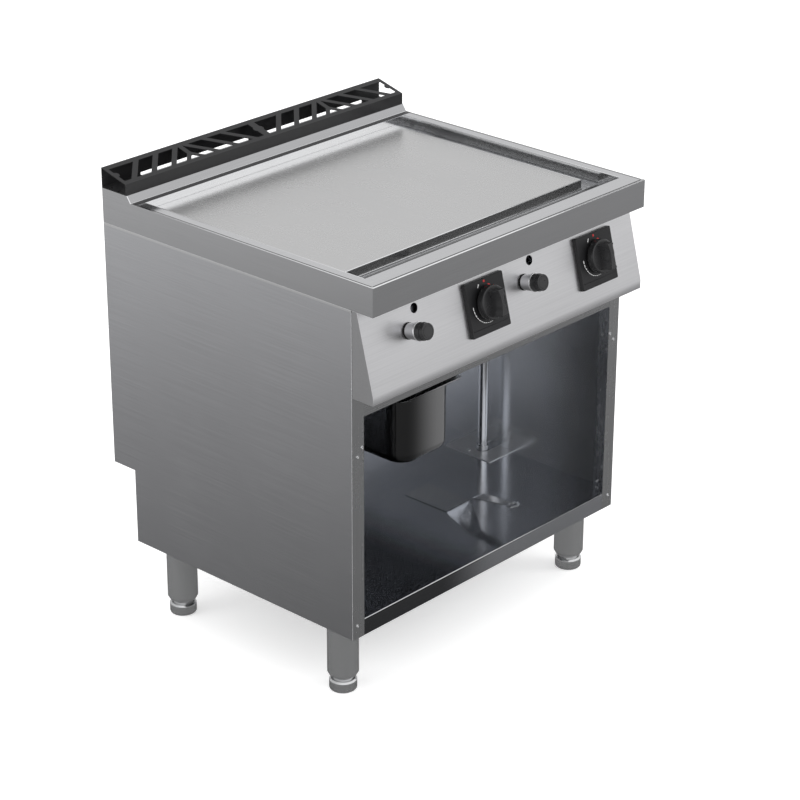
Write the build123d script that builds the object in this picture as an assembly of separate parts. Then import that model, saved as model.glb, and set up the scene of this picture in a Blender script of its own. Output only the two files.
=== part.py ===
"""Free-standing gas griddle, 700 mm deep series: smooth plate in a raised worktop,
two gas zones, an open base cabinet with a grease bin, and four levelling legs."""

from build123d import *
import math
import os

# Driving dimensions (mm).  Layout frame: X to the right, Y to the rear with Y = 0 at the front
# of the worktop, Z up from the floor.
WIDTH = 800.0
DEPTH = 730.0
WORKTOP_Z = 900.0
HALF_W = WIDTH / 2

# Worktop, well and rear upstand
HOB_T = 2.0                # worktop sheet
APRON_Z = 842.0            # lower edge of the worktop's apron
UPSTAND_Z = 914.0          # top of the rear upstand
UPSTAND_FOOT_Y = 648.0     # where the upstand starts to rise
UPSTAND_TOP_Y = 658.0
WELL_HALF_W = 374.0
WELL_Y0 = 44.5
WELL_Y1 = 632.4
TROUGH_Z = 862.0           # floor of the grease trough
DRAIN_X = -167.0
DRAIN_Y = 92.0
DRAIN_R = 18.0

# Griddle plate
PLATE_HALF_W = 346.5
PLATE_Y0 = 120.0
PLATE_Y1 = 631.9
PLATE_TOP = 884.5
PLATE_T = 18.0
PLATE_Z0 = PLATE_TOP - PLATE_T
SEAT_LEDGE = 1.5           # seat visible outside the plate's foot
SEAT_W = 12.0              # seat under the plate's edge

# Flue
GRILLE_Y0 = 660.0
GRILLE_T = 1.5
GRILLE_FRONT_Z = 937.0
GRILLE_BACK_Z = 956.0
FLUE_HALF_W = 330.0
FLUE_Y0 = 690.0
FLUE_Y1 = 716.0
DUCT_T = 1.2

# Cabinet
BODY_T = 1.2
BODY_Y0 = 52.8             # front of the posts
BODY_Z0 = 153.2            # underside of the cabinet
STEP_Z = 315.9             # the back is set in below this height
STEP_Y = 668.0
POST_W = 31.5
POST_FLANGE_Y = 101.0      # rear edge of the post's side flange
FLOOR_Z = 189.5            # top of the cabinet floor
RAIL_Z0 = 619.0            # lower edge of the top rail
SHIELD_Z = 700.0           # heat shield above the open cabinet
LOUVRE_ROWS = 4
LOUVRE_Z0 = 730.0
SHELF_HOLES = [(91, 537), (79, 507), (92, 354), (84, 338), (78, 235), (91, 197)]   # Y and Z
SHELF_HOLE_R = 2.2

# Control panel: a face that leans back, a short upright strip below it and two cheeks
PANEL_TOP_Y = 40.6
PANEL_FOOT_Z = 684.0
STRIP_Z = 666.0
PANEL_T = 1.2
PANEL_RISE = APRON_Z - PANEL_FOOT_Z
PANEL_TILT = math.atan2(PANEL_TOP_Y, PANEL_RISE)
PANEL_LEN = math.hypot(PANEL_TOP_Y, PANEL_RISE)
PANEL_PLANE = Plane(
    origin=(0, 0, PANEL_FOOT_Z), x_dir=(1, 0, 0), z_dir=(0, -math.cos(PANEL_TILT), math.sin(PANEL_TILT))
)

# Controls.  Positions are X and the distance up the panel's face from its lower edge.
SIDES = ("left", "right")
KNOB_X = {"left": -67.5, "right": 265.5}
BEZEL_S = 81.5
BEZEL_SHIFT = 2.0          # its middle lies this far to the right of the knob's axis
KNOB_S = 87.5              # the knob sits above the middle of its bezel
BEZEL_W = 110.0
BEZEL_H = 108.0
BEZEL_T = 9.0
KNOB_R = 34.0
KNOB_GAP = 7.0             # bezel to knob, room for the push travel
KNOB_SKIRT_T = 14.0
GRIP_LEN = 52.0
GRIP_RISE = 22.0           # top of the grip above the skirt
GRIP_WAIST = 8.4           # half width at the grip's foot, half way along it
GRIP_HOLLOW_R = 60.6       # radius of the hollow flanks at the grip's foot
GRIP_DRAFT = 0.2136        # how much that radius grows for each millimetre of height
SPINDLE_R = 4.0
SPINDLE_HOLE_R = 4.05
PUSH_TRAVEL = 5.0
IGNITER_X = {"left": -278.0, "right": 54.5}
IGNITER_S = 92.5
COLLAR_R = 18.6            # front ring of the chromed collar
COLLAR_FOOT_R = 15.6
COLLAR_LEN = 30.0
GUARD_R = 17.5             # sleeve around the button
GUARD_LEN = 41.0
BUTTON_R = 16.4
BUTTON_LEN = 50.0          # face of the button above the panel
BUTTON_EDGE_R = 1.6
BUTTON_BORE_R = 16.45
SIGHT_X = {"left": -253.3, "right": 79.7}
SIGHT_S = 129.6
SIGHT_R = 9.5

# Gas train behind the panel
ZONE_X = {"left": -173.0, "right": 173.0}
VALVE_W = 38.0
VALVE_LEN = 56.0
PIPE_R = 10.65             # half inch gas pipe
MANIFOLD_OFF = 82.0        # distance of the manifold's axis behind the panel face
PIPE_X = 363.0
PIPE_Y = 384.0
PIPE_Z0 = 118.0            # lower end of the gas inlet
THREAD_R = 10.48           # half inch pipe thread
THREAD_LEN = 30.0
PIPE_BEND_R = 28.0

# Burner chamber
CHAMBER_HALF_W = 352.0
CHAMBER_Y0 = 128.0
CHAMBER_Y1 = 640.0
CHAMBER_Z0 = 762.0
BURNER_R = 19.0
BURNER_Z = 808.0
BURNER_Y0 = 165.0
BURNER_Y1 = 600.0
BURNER_SPREAD = 78.0       # tube to zone centre
HEADER_R = 16.0
VENTURI_R = 12.5
VENTURI_SHIFT = 55.0       # venturi to zone centre
PORT_COUNT = 18
PILOT_Y = 148.0            # between the chamber's front and the burner tubes

# Grease bin: a one third size container 150 mm deep, its long side front to back
BIN_X = -167.0
BIN_W = 176.0
BIN_L = 325.0
BIN_RIM_Z = 607.0
BIN_H = 150.0
BIN_T = 1.0
BIN_RIM_W = 12.0
BIN_CORNER_R = 44.0
BIN_FOOT_R = 22.0
BIN_Y0 = 57.5              # front of the rim
RUNNER_GAP = 0.4

# Legs
CHANNEL_HALF = 38.0        # half width of the cross channels that carry them
LEG_X = 352.0
LEG_YS = {"front": 126.6, "rear": 588.0}
LEG_R = 31.6
LEG_T = 1.5
LEG_FOOT_Z = 33.5          # lower end of the tube
LEG_NECK_Z = 40.0
LEG_NECK_R = 28.0
FOOT_R = 28.0
FOOT_H = 25.0
STEM_R = 8.0
STEM_TOP = 105.0
THREAD_CLEAR = 0.05

# Pipe cover plate on the cabinet floor
COVER_X0 = 321.0
COVER_Y0 = 327.0
COVER_Y1 = 457.0
COVER_T = 2.0
COVER_NOTCH_W = 30.0
COLLAR_NUT_R = 13.4

# Scraper lying on the cabinet floor
SCRAPER_X = 116.0
SCRAPER_W = 72.0
SCRAPER_T = 2.0
SCRAPER_BEND_Y = 238.0
SCRAPER_REAR_Y = 355.0
SCRAPER_NECK_RISE = 42.0
SCRAPER_NECK_RUN = 53.0
SCRAPER_END_Y = 75.0
SCRAPER_END_RISE = 56.0
SCRAPER_HANDLE_W = 22.0
SCRAPER_EYE_R = 14.0


# ---------------------------------------------------------------- helpers
def block(x0, x1, y0, y1, z0, z1):
    """Box given by its two limits along each axis."""
    return Pos((x0 + x1) / 2, (y0 + y1) / 2, (z0 + z1) / 2) * Box(x1 - x0, y1 - y0, z1 - z0)


def rod(start, end, radius):
    """Round bar between two points."""
    a = Vector(*start)
    b = Vector(*end)
    plane = Plane(origin=a, z_dir=b - a)
    return extrude(plane * Circle(radius), (b - a).length)


def across(points, x0, x1):
    """Solid with a constant outline in Y and Z between two X positions."""
    outline = Polyline(*[(0, y, z) for y, z in points], close=True)
    return Pos(x0, 0, 0) * extrude(make_face(outline), x1 - x0, dir=(1, 0, 0))


def prism(points, z0, z1):
    """Solid with a constant outline in X and Y between two heights."""
    outline = Polyline(*[(x, y, z0) for x, y in points], close=True)
    return extrude(make_face(outline), z1 - z0, dir=(0, 0, 1))


def on_panel(x, s, off=0.0):
    """Location on the panel's face: X, distance up the face, distance in front of it."""
    return Location(PANEL_PLANE) * Pos(x, s, off)


def panel_point(x, s, off):
    """The same place as a point in the layout frame."""
    return PANEL_PLANE.from_local_coords(Vector(x, s, off))


def pipe_run(points, radius, bend):
    """Pipe along straight runs with one bend radius."""
    path = FilletPolyline(*points, radius=bend)
    start = Plane(origin=path @ 0, z_dir=path % 0)
    return sweep(start * Circle(radius), path=path)


def tray_shell(x0, x1, y0, y1, z0, z1, corner_r, foot_r, wall):
    """Open pan with rounded corners and a rounded foot."""
    def solid(inset, floor):
        w = x1 - x0 - 2 * inset
        length = y1 - y0 - 2 * inset
        body = Box(w, length, z1 - z0 - floor)
        body = Pos((x0 + x1) / 2, (y0 + y1) / 2, (z0 + z1 + floor) / 2) * body
        body = fillet(body.edges().filter_by(Axis.Z), corner_r - inset)
        return fillet(body.faces().sort_by(Axis.Z)[0].edges(), foot_r - inset)
    return solid(0, 0) - solid(wall, wall)


def cluster(solids):
    """Separate solids kept in one node."""
    members = []
    for solid in solids:
        members.extend(solid.solids())
    return Compound(members)


PARTS = {}


def keep(name, shape):
    """Register one node."""
    PARTS[name] = shape


# ---------------------------------------------------------------- worktop, plate and flue
def make_worktop():
    outer = [(0, APRON_Z), (DEPTH, APRON_Z), (DEPTH, UPSTAND_Z), (UPSTAND_TOP_Y, UPSTAND_Z),
             (UPSTAND_FOOT_Y, WORKTOP_Z), (0, WORKTOP_Z)]
    inner = [(HOB_T, APRON_Z - 1), (DEPTH - HOB_T, APRON_Z - 1), (DEPTH - HOB_T, UPSTAND_Z - HOB_T),
             (UPSTAND_TOP_Y + 1, UPSTAND_Z - HOB_T), (UPSTAND_FOOT_Y + 1, WORKTOP_Z - HOB_T),
             (HOB_T, WORKTOP_Z - HOB_T)]
    top = across(outer, -HALF_W, HALF_W) - across(inner, -HALF_W + HOB_T, HALF_W - HOB_T)
    pan_w = WELL_HALF_W + HOB_T
    pan = block(-pan_w, pan_w, WELL_Y0 - HOB_T, WELL_Y1 + HOB_T, TROUGH_Z - HOB_T, WORKTOP_Z - HOB_T / 2)
    seat_w = PLATE_HALF_W + SEAT_LEDGE
    seat = block(-seat_w, seat_w, PLATE_Y0 - SEAT_LEDGE, WELL_Y1, TROUGH_Z - HOB_T, PLATE_Z0)
    well = block(-WELL_HALF_W, WELL_HALF_W, WELL_Y0, WELL_Y1, TROUGH_Z, WORKTOP_Z + 1)
    hole_w = PLATE_HALF_W - SEAT_W
    hole = block(-hole_w, hole_w, PLATE_Y0 + SEAT_W, PLATE_Y1 - SEAT_W, TROUGH_Z - 9, PLATE_Z0 + 1)
    drain = Pos(DRAIN_X, DRAIN_Y, TROUGH_Z) * Cylinder(DRAIN_R, 12)
    outlet = block(-FLUE_HALF_W, FLUE_HALF_W, FLUE_Y0, FLUE_Y1, UPSTAND_Z - 5, UPSTAND_Z + 1)
    fold = block(-HALF_W + HOB_T, HALF_W - HOB_T, HOB_T, PANEL_TOP_Y, APRON_Z, APRON_Z + HOB_T)
    keep("worktop", (top + pan - well + seat) - hole - drain - outlet + fold)


def make_plate():
    plate = block(-PLATE_HALF_W, PLATE_HALF_W, PLATE_Y0, PLATE_Y1, PLATE_Z0, PLATE_TOP)
    rim = plate.faces().sort_by(Axis.Z)[-1].edges()
    plate = chamfer(rim.sort_by(Axis.Y)[:3], 1.5)
    keep("griddle_plate", plate)


def make_drain_chute():
    """Spout that carries fat from the trough down over the bin."""
    top_z = TROUGH_Z - HOB_T
    foot_z = BIN_RIM_Z + 22
    wall = 1.5
    spout = Pos(DRAIN_X, DRAIN_Y, (top_z + foot_z) / 2) * Cylinder(DRAIN_R + wall, top_z - foot_z)
    flange = Pos(DRAIN_X, DRAIN_Y, top_z - wall / 2) * Cylinder(DRAIN_R + 9, wall)
    bore = Pos(DRAIN_X, DRAIN_Y, (top_z + foot_z) / 2) * Cylinder(DRAIN_R, top_z - foot_z + 2)
    keep("drain_chute", spout + flange - bore)


def grille_openings():
    """Chevron cut-outs: bars at 45 degrees that lean away from the middle of each half."""
    first = 6.0                # half width of the upright bar in the middle of a half
    pitch = 53.0
    opening = 37.5
    v0, v1 = 11.0, 58.0        # front and rear edges of the cut-outs, from the grille's front
    branch_v = 31.0            # where the upright bar splits
    end_u = 191.0
    shapes = []
    for centre in (-HALF_W / 2, HALF_W / 2):
        for side in (-1, 1):
            quads = [[(first, v1), (first, branch_v), (first + branch_v - v0, v0), (first + v1 - v0, v0)]]
            for k in range(2):
                u = first + 15 + k * pitch
                quads.append([(u, v1), (u + opening, v1), (u + opening + v1 - v0, v0), (u + v1 - v0, v0)])
            u = first + 15 + 2 * pitch
            quads.append([(u, v1), (end_u, v1), (end_u, v0), (u + v1 - v0, v0)])
            for quad in quads:
                points = [(centre + side * a, GRILLE_Y0 + b) for a, b in quad]
                shapes.append(prism(points, GRILLE_FRONT_Z - 6, GRILLE_BACK_Z + 2))
        tip = [(centre - 13, GRILLE_Y0 + v0), (centre + 13, GRILLE_Y0 + v0), (centre, GRILLE_Y0 + v0 + 13)]
        shapes.append(prism(tip, GRILLE_FRONT_Z - 6, GRILLE_BACK_Z + 2))
    return shapes


def make_grille():
    t = GRILLE_T
    y0, y1 = GRILLE_Y0, DEPTH
    slope = (GRILLE_BACK_Z - GRILLE_FRONT_Z) / (y1 - y0)
    outer = [(y0, UPSTAND_Z), (y1, UPSTAND_Z), (y1, GRILLE_BACK_Z), (y0, GRILLE_FRONT_Z)]
    inner = [(y0 + t, UPSTAND_Z + t), (y1 - t, UPSTAND_Z + t), (y1 - t, GRILLE_BACK_Z - t * (1 + slope)),
             (y0 + t, GRILLE_FRONT_Z - t + slope * t)]
    shell = across(outer, -HALF_W, HALF_W) - across(inner, -HALF_W - 1, HALF_W + 1)
    for cut in grille_openings():
        shell -= cut
    # round tabs half way along the end bars and the middle bar
    for x in (-HALF_W + 9, -6, 6, HALF_W - 9):
        boss = Pos(x, y0 + 36, GRILLE_FRONT_Z) * Cylinder(7, 80)
        band = [(y0, GRILLE_FRONT_Z - t), (y1, GRILLE_BACK_Z - t), (y1, GRILLE_BACK_Z), (y0, GRILLE_FRONT_Z)]
        shell += boss & across(band, -HALF_W, HALF_W)
    # flue opening and fixing slots in the bottom
    shell -= block(-FLUE_HALF_W, FLUE_HALF_W, FLUE_Y0, FLUE_Y1 - 2, UPSTAND_Z - 1, UPSTAND_Z + t + 1)
    for x0, x1 in ((-298, 3), (50, 345)):
        shell -= block(x0, x1, 719.5, DEPTH + 1, UPSTAND_Z - 1, UPSTAND_Z + 6)
    for x in (-HALF_W + 8, HALF_W - 8):
        for y in (686, 712):
            shell -= block(x - 5, x + 5, y - 3, y + 3, UPSTAND_Z - 1, UPSTAND_Z + t + 1)
    keep("flue_grille", shell)


def make_flue_duct():
    t = DUCT_T
    top = UPSTAND_Z - HOB_T
    y0, y1 = CHAMBER_Y1, FLUE_Y1 + 2
    mouth_z0, mouth_z1 = 800.0, 852.0
    throat_y = FLUE_Y0 - 2
    outer = [(y0, mouth_z0), (y1, mouth_z0), (y1, top), (throat_y, top), (throat_y, mouth_z1), (y0, mouth_z1)]
    inner = [(y0 - 1, mouth_z0 + t), (y1 - t, mouth_z0 + t), (y1 - t, top + 1), (throat_y + t, top + 1),
             (throat_y + t, mouth_z1 - t), (y0 - 1, mouth_z1 - t)]
    w = FLUE_HALF_W + 2
    keep("flue_duct", across(outer, -w, w) - across(inner, -w + t, w - t))


# ---------------------------------------------------------------- cabinet
def make_side_panels():
    outline = [(BODY_Y0 + BODY_T, BODY_Z0), (STEP_Y, BODY_Z0), (STEP_Y, STEP_Z), (DEPTH, STEP_Z),
               (DEPTH, APRON_Z), (BODY_Y0 + BODY_T, APRON_Z)]
    keep("left_side_panel", across(outline, -HALF_W, -HALF_W + BODY_T))
    keep("right_side_panel", across(outline, HALF_W - BODY_T, HALF_W))


def make_rear_panel():
    t = BODY_T
    outline = [(STEP_Y - t, BODY_Z0), (STEP_Y, BODY_Z0), (STEP_Y, STEP_Z), (DEPTH, STEP_Z),
               (DEPTH, APRON_Z), (DEPTH - t, APRON_Z), (DEPTH - t, STEP_Z + t), (STEP_Y - t, STEP_Z + t)]
    panel = across(outline, -HALF_W + t, HALF_W - t)
    # louvre slots that let cooling air into the burner space
    for row in range(LOUVRE_ROWS):
        z = LOUVRE_Z0 + row * 14
        for column in range(-3, 4):
            x = column * 70
            panel -= block(x - 25, x + 25, DEPTH - t - 1, DEPTH + 1, z, z + 5)
    keep("rear_panel", panel)


def make_posts():
    t = BODY_T
    for side, sign in (("left", -1), ("right", 1)):
        edge = sign * HALF_W
        face = block(*sorted((edge, edge - sign * POST_W)), BODY_Y0, BODY_Y0 + t, BODY_Z0, STRIP_Z - t)
        skin = edge - sign * BODY_T
        flange = block(*sorted((skin, skin - sign * t)), BODY_Y0 + t, POST_FLANGE_Y, FLOOR_Z, STRIP_Z - t)
        post = face + flange
        for y, z in SHELF_HOLES:
            post -= rod((skin - sign * 4, y, z), (skin, y, z), SHELF_HOLE_R)
        keep(side + "_post", post)


def make_top_rail():
    t = BODY_T
    x = HALF_W - BODY_T - t
    rail = block(-HALF_W + POST_W, HALF_W - POST_W, BODY_Y0, BODY_Y0 + t, RAIL_Z0, STRIP_Z - t)
    lip = block(-HALF_W + POST_W, HALF_W - POST_W, BODY_Y0, BODY_Y0 + 12, RAIL_Z0, RAIL_Z0 + t)
    web = block(-x, x, BODY_Y0 + t, BODY_Y0 + 2 * t, STRIP_Z - 12, SHIELD_Z)
    keep("top_rail", rail + lip + web)


def make_floor():
    t = BODY_T
    x = HALF_W - t
    y1 = STEP_Y - t
    sheet = block(-x, x, BODY_Y0 + t, y1, FLOOR_Z - t, FLOOR_Z)
    rail_x = HALF_W - POST_W
    rail = block(-rail_x, rail_x, BODY_Y0, BODY_Y0 + t, BODY_Z0, FLOOR_Z)
    lip = block(-rail_x, rail_x, BODY_Y0, BODY_Y0 + 18, BODY_Z0, BODY_Z0 + t)
    rear = block(-x, x, y1 - t, y1, BODY_Z0, FLOOR_Z)
    floor = sheet + rail + lip + rear
    floor -= Pos(PIPE_X, PIPE_Y, FLOOR_Z) * Cylinder(PIPE_R + 4, 12)
    keep("cabinet_floor", floor)


def make_base_frame():
    """Two cross channels under the floor that carry the legs."""
    t = 2.5
    x = HALF_W - BODY_T
    top = FLOOR_Z - BODY_T
    for name, y in LEG_YS.items():
        channel = block(-x, x, y - CHANNEL_HALF, y + CHANNEL_HALF, BODY_Z0, top)
        inner = CHANNEL_HALF - t
        channel -= block(-x + t, x - t, y - inner, y + inner, BODY_Z0 + t, top + 1)
        for sign in (-1, 1):
            channel -= Pos(sign * LEG_X, y, BODY_Z0) * Cylinder(5.2, 12)
        keep(name + "_cross_member", channel)


def make_heat_shield():
    t = BODY_T
    x = HALF_W - BODY_T - t - 0.2
    z = SHIELD_Z
    shield = block(-x, x, BODY_Y0 + 2 * t, DEPTH - t, z, z + t)
    shield -= Pos(PIPE_X, PIPE_Y, z) * Cylinder(PIPE_R + 4, 12)
    shield -= Pos(DRAIN_X, DRAIN_Y, z) * Cylinder(DRAIN_R + 5, 12)
    for zone in ZONE_X.values():
        for k in range(-2, 3):
            shield -= block(zone + k * 44 - 14, zone + k * 44 + 14, 240, 520, z - 2, z + t + 2)
    keep("heat_shield", shield)


def make_control_panel():
    t = PANEL_T
    face = [(PANEL_TOP_Y, APRON_Z), (0, PANEL_FOOT_Z), (0, STRIP_Z), (BODY_Y0, STRIP_Z),
            (BODY_Y0, STRIP_Z + t), (t, STRIP_Z + t), (t, PANEL_FOOT_Z - t * 0.1),
            (PANEL_TOP_Y + t, APRON_Z)]
    wedge = [(PANEL_TOP_Y, APRON_Z), (0, PANEL_FOOT_Z), (0, STRIP_Z), (BODY_Y0, STRIP_Z), (BODY_Y0, APRON_Z)]
    panel = across(face, -HALF_W, HALF_W)
    for x0 in (-HALF_W, HALF_W - t):
        panel += across(wedge, x0, x0 + t)
    for side in SIDES:
        panel -= on_panel(SIGHT_X[side], SIGHT_S) * Cylinder(SIGHT_R, 12)
        panel -= on_panel(KNOB_X[side], KNOB_S) * Cylinder(8, 12)
        panel -= on_panel(IGNITER_X[side], IGNITER_S) * Cylinder(COLLAR_FOOT_R + 0.3, 12)
    keep("control_panel", panel)


# ---------------------------------------------------------------- controls
def make_bezel(side):
    """Square knob plate with a drafted edge and a groove across its lower end."""
    plate = extrude(RectangleRounded(BEZEL_W, BEZEL_H, 3), BEZEL_T, taper=2)
    plate = fillet(plate.faces().sort_by(Axis.Z)[-1].edges(), 1)
    groove_y = -BEZEL_H / 2 + 13.5
    plate -= Pos(0, groove_y, BEZEL_T) * Box(BEZEL_W - 6, 1.2, 1.6)
    axis_y = KNOB_S - BEZEL_S
    plate -= Pos(-BEZEL_SHIFT, axis_y, BEZEL_T / 2) * Cylinder(9, BEZEL_T + 2)
    plate -= Pos(-BEZEL_SHIFT, axis_y, BEZEL_T) * Cylinder(KNOB_R - 3, 5)
    keep(side + "_bezel", on_panel(KNOB_X[side] + BEZEL_SHIFT, BEZEL_S) * plate)


def grip_block():
    """Upright grip with hollow drafted flanks and flat ends, its foot at height zero."""
    below, above = 4.0, GRIP_RISE + 4.0
    block_t = GRIP_RISE + 2
    grip = Pos(0, 0, GRIP_RISE - block_t / 2) * Box(32, GRIP_LEN, block_t)
    flank = Cone(GRIP_HOLLOW_R - below * GRIP_DRAFT, GRIP_HOLLOW_R + above * GRIP_DRAFT, above + below)
    for sign in (-1, 1):
        grip -= Pos(sign * (GRIP_HOLLOW_R + GRIP_WAIST), 0, (above - below) / 2) * flank
    ends = [edge for edge in grip.edges() if edge.bounding_box().size.Z > 10]
    grip = fillet(ends, 1.5)
    return fillet(grip.faces().sort_by(Axis.Z)[-1].edges(), 1.2)


def make_knob(side):
    """Round skirt with a beaded rim and a tall grip across it."""
    base = BEZEL_T + KNOB_GAP
    skirt = Pos(0, 0, KNOB_SKIRT_T / 2) * Cylinder(KNOB_R, KNOB_SKIRT_T)
    skirt = fillet(skirt.edges().sort_by(Axis.Z)[-1:], 2.4)
    skirt -= Pos(0, 0, KNOB_SKIRT_T) * Cylinder(KNOB_R - 4.5, 1.6)
    knob = skirt + Pos(0, 0, KNOB_SKIRT_T) * grip_block()
    knob -= Cylinder(KNOB_R - 4, 12)
    knob += Pos(0, 0, 6) * Cylinder(8, 12)
    socket_depth = 16
    knob -= Pos(0, 0, socket_depth / 2) * Cylinder(SPINDLE_HOLE_R, socket_depth)
    keep(side + "_knob", on_panel(KNOB_X[side], KNOB_S, base) * knob)


def make_spindle(side):
    """Valve spindle that the knob turns on and pushes."""
    tip = BEZEL_T + KNOB_GAP + 15
    tail = -24.0
    spindle = Pos(0, 0, (tip + tail) / 2) * Cylinder(SPINDLE_R, tip - tail)
    spindle += Pos(0, 0, BEZEL_T + KNOB_GAP - 1.5) * Cylinder(7, 1.6)
    keep(side + "_valve_spindle", on_panel(KNOB_X[side], KNOB_S) * spindle)


def make_valve(side):
    """Gas tap body behind the panel, with its bonnet, thermocouple boss and outlet."""
    rear = -8.0 - VALVE_LEN
    body = Pos(0, 0, -8 - VALVE_LEN / 2) * Box(VALVE_W, VALVE_W, VALVE_LEN)
    body = fillet(body.edges().filter_by(Axis.Z), 5)
    body += Pos(0, 0, -4.6) * Cylinder(13, 6.8)
    body += Pos(0, 0, rear - 2) * Cylinder(12, 6)
    body += Pos(0, VALVE_W / 2 + 5, -40) * (Rot(90, 0, 0) * Cylinder(8, 12))
    body += Pos(VALVE_W / 2 + 6, 0, -40) * (Rot(0, 90, 0) * Cylinder(6, 14))
    bore_depth = 34
    body -= Pos(0, 0, -bore_depth / 2) * Cylinder(SPINDLE_HOLE_R, bore_depth)
    keep(side + "_gas_valve", on_panel(KNOB_X[side], KNOB_S) * body)


def make_igniter(side):
    """Piezo igniter: flared chromed collar with a guard sleeve, and its push button."""
    place = on_panel(IGNITER_X[side], IGNITER_S)
    profile = [(0, 0), (COLLAR_FOOT_R + 0.6, 0), (COLLAR_FOOT_R + 0.6, 4), (COLLAR_FOOT_R, 4),
               (COLLAR_R - 0.8, COLLAR_LEN - 3), (COLLAR_R, COLLAR_LEN - 3), (COLLAR_R, COLLAR_LEN - 0.5),
               (COLLAR_R - 0.5, COLLAR_LEN), (GUARD_R, COLLAR_LEN), (GUARD_R, GUARD_LEN), (0, GUARD_LEN)]
    body = revolve(make_face(Polyline(*[(r, 0, off) for r, off in profile], close=True)), Axis.Z)
    body += Pos(0, 0, -12) * Cylinder(COLLAR_FOOT_R, 24)
    body += Pos(0, 0, -30) * Cylinder(9, 14)
    body += Pos(0, 0, -3.7) * Cylinder(COLLAR_R + 4, 4.4)
    back = 14.0                # floor of the bore in front of the panel
    body -= Pos(0, 0, back + 20) * Cylinder(BUTTON_BORE_R, 40)
    keep(side + "_igniter_body", place * body)
    tail = back + PUSH_TRAVEL + 1
    button = Pos(0, 0, (BUTTON_LEN + tail) / 2) * Cylinder(BUTTON_R, BUTTON_LEN - tail)
    button = fillet(button.edges().sort_by(Axis.Z)[-1:], BUTTON_EDGE_R)
    button -= Pos(0, 0, BUTTON_LEN) * (Cylinder(12.6, 1.2) - Cylinder(11.8, 1.2))
    keep(side + "_igniter_button", place * button)


# ---------------------------------------------------------------- gas train
def make_manifold():
    mid = panel_point(0, KNOB_S, -MANIFOLD_OFF)
    y, z = mid.Y, mid.Z
    x0 = KNOB_X["left"] - 28
    end_x = PIPE_X - PIPE_R - 0.35
    rail = rod((x0, y, z), (end_x, y, z), PIPE_R) - rod((x0 + 3, y, z), (PIPE_X, y, z), PIPE_R - 2.5)
    for side in SIDES:
        stub_a = panel_point(KNOB_X[side], KNOB_S, -8 - VALVE_LEN - 5.2)
        stub_b = panel_point(KNOB_X[side], KNOB_S, -MANIFOLD_OFF + 4)
        rail += rod(tuple(stub_a), tuple(stub_b), 9)
    rail += rod((x0 - 4, y, z), (x0 + 6, y, z), PIPE_R + 3)
    keep("gas_manifold", rail)
    path = [(PIPE_X, PIPE_Y, PIPE_Z0), (PIPE_X, PIPE_Y, z), (PIPE_X, y, z)]
    pipe = pipe_run(path, PIPE_R, PIPE_BEND_R) - pipe_run(path, PIPE_R - 2.5, PIPE_BEND_R)
    thread = Cylinder(PIPE_R + 1, THREAD_LEN) - Cylinder(THREAD_R, THREAD_LEN + 2)
    pipe -= Pos(PIPE_X, PIPE_Y, PIPE_Z0 + THREAD_LEN / 2) * thread
    keep("gas_inlet_pipe", pipe)
    elbow = Pos(PIPE_X, y - 2, z) * Box(34, 32, 32)
    elbow = fillet(elbow.edges().filter_by(Axis.Z), 6)
    elbow -= rod((PIPE_X, y - 2, z), (PIPE_X, y + 30, z), PIPE_R)
    elbow -= rod((PIPE_X - 30, y, z), (PIPE_X - 10, y, z), PIPE_R)
    keep("manifold_elbow", elbow)


def make_burner(side):
    """Two ported tubes joined by a header, fed by one venturi from the front."""
    zone = ZONE_X[side]
    z = BURNER_Z
    wall = 1.5
    mix_x = zone + VENTURI_SHIFT
    left, right = zone - BURNER_SPREAD, zone + BURNER_SPREAD
    header_y = BURNER_Y0 + BURNER_R
    solid = rod((mix_x, BURNER_Y0 - 50, z), (mix_x, header_y, z), VENTURI_R)
    hollow = rod((mix_x, BURNER_Y0 - 51, z), (mix_x, header_y, z), VENTURI_R - wall)
    solid += rod((left, header_y, z), (right, header_y, z), HEADER_R)
    hollow += rod((left, header_y, z), (right, header_y, z), HEADER_R - wall)
    for x in (left, right):
        solid += rod((x, BURNER_Y0, z), (x, BURNER_Y1, z), BURNER_R)
        for y in (BURNER_Y0 + 40, BURNER_Y1 - 30):
            solid += block(x - 10, x + 10, y, y + 2, CHAMBER_Z0 + DUCT_T, z - BURNER_R + 1)
        hollow += rod((x, BURNER_Y0 + wall, z), (x, BURNER_Y1 - wall, z), BURNER_R - wall)
    burner = solid - hollow
    pitch = (BURNER_Y1 - BURNER_Y0 - 60) / (PORT_COUNT - 1)
    for sign in (-1, 1):
        x = zone + sign * BURNER_SPREAD
        for k in range(PORT_COUNT):
            y = BURNER_Y0 + 45 + k * pitch
            burner -= block(x - 9, x + 9, y - 1.2, y + 1.2, z + 10, z + BURNER_R + 1)
    keep(side + "_burner", burner)


def make_injectors():
    """Injector holders in front of the venturis."""
    holders = []
    for zone in ZONE_X.values():
        x = zone + VENTURI_SHIFT
        holder = rod((x, 90, BURNER_Z), (x, 107, BURNER_Z), 9)
        holders.append(holder + rod((x, 107, BURNER_Z), (x, 111, BURNER_Z), 4))
    keep("gas_injectors", cluster(holders))


def make_feed_pipe(side):
    """Pipe from the valve's outlet over to the injector holder."""
    x = ZONE_X[side] + VENTURI_SHIFT
    boss_top = KNOB_S + VALVE_W / 2 + 11
    outlet = panel_point(KNOB_X[side], boss_top + 0.1, -40)
    above = panel_point(KNOB_X[side], boss_top + 22, -40)
    z = BURNER_Z + 30
    path = [tuple(outlet), tuple(above), (x, 98, z), (x, 98, BURNER_Z + 9.1)]
    keep(side + "_feed_pipe", pipe_run(path, 4.0, 7.0))


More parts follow.
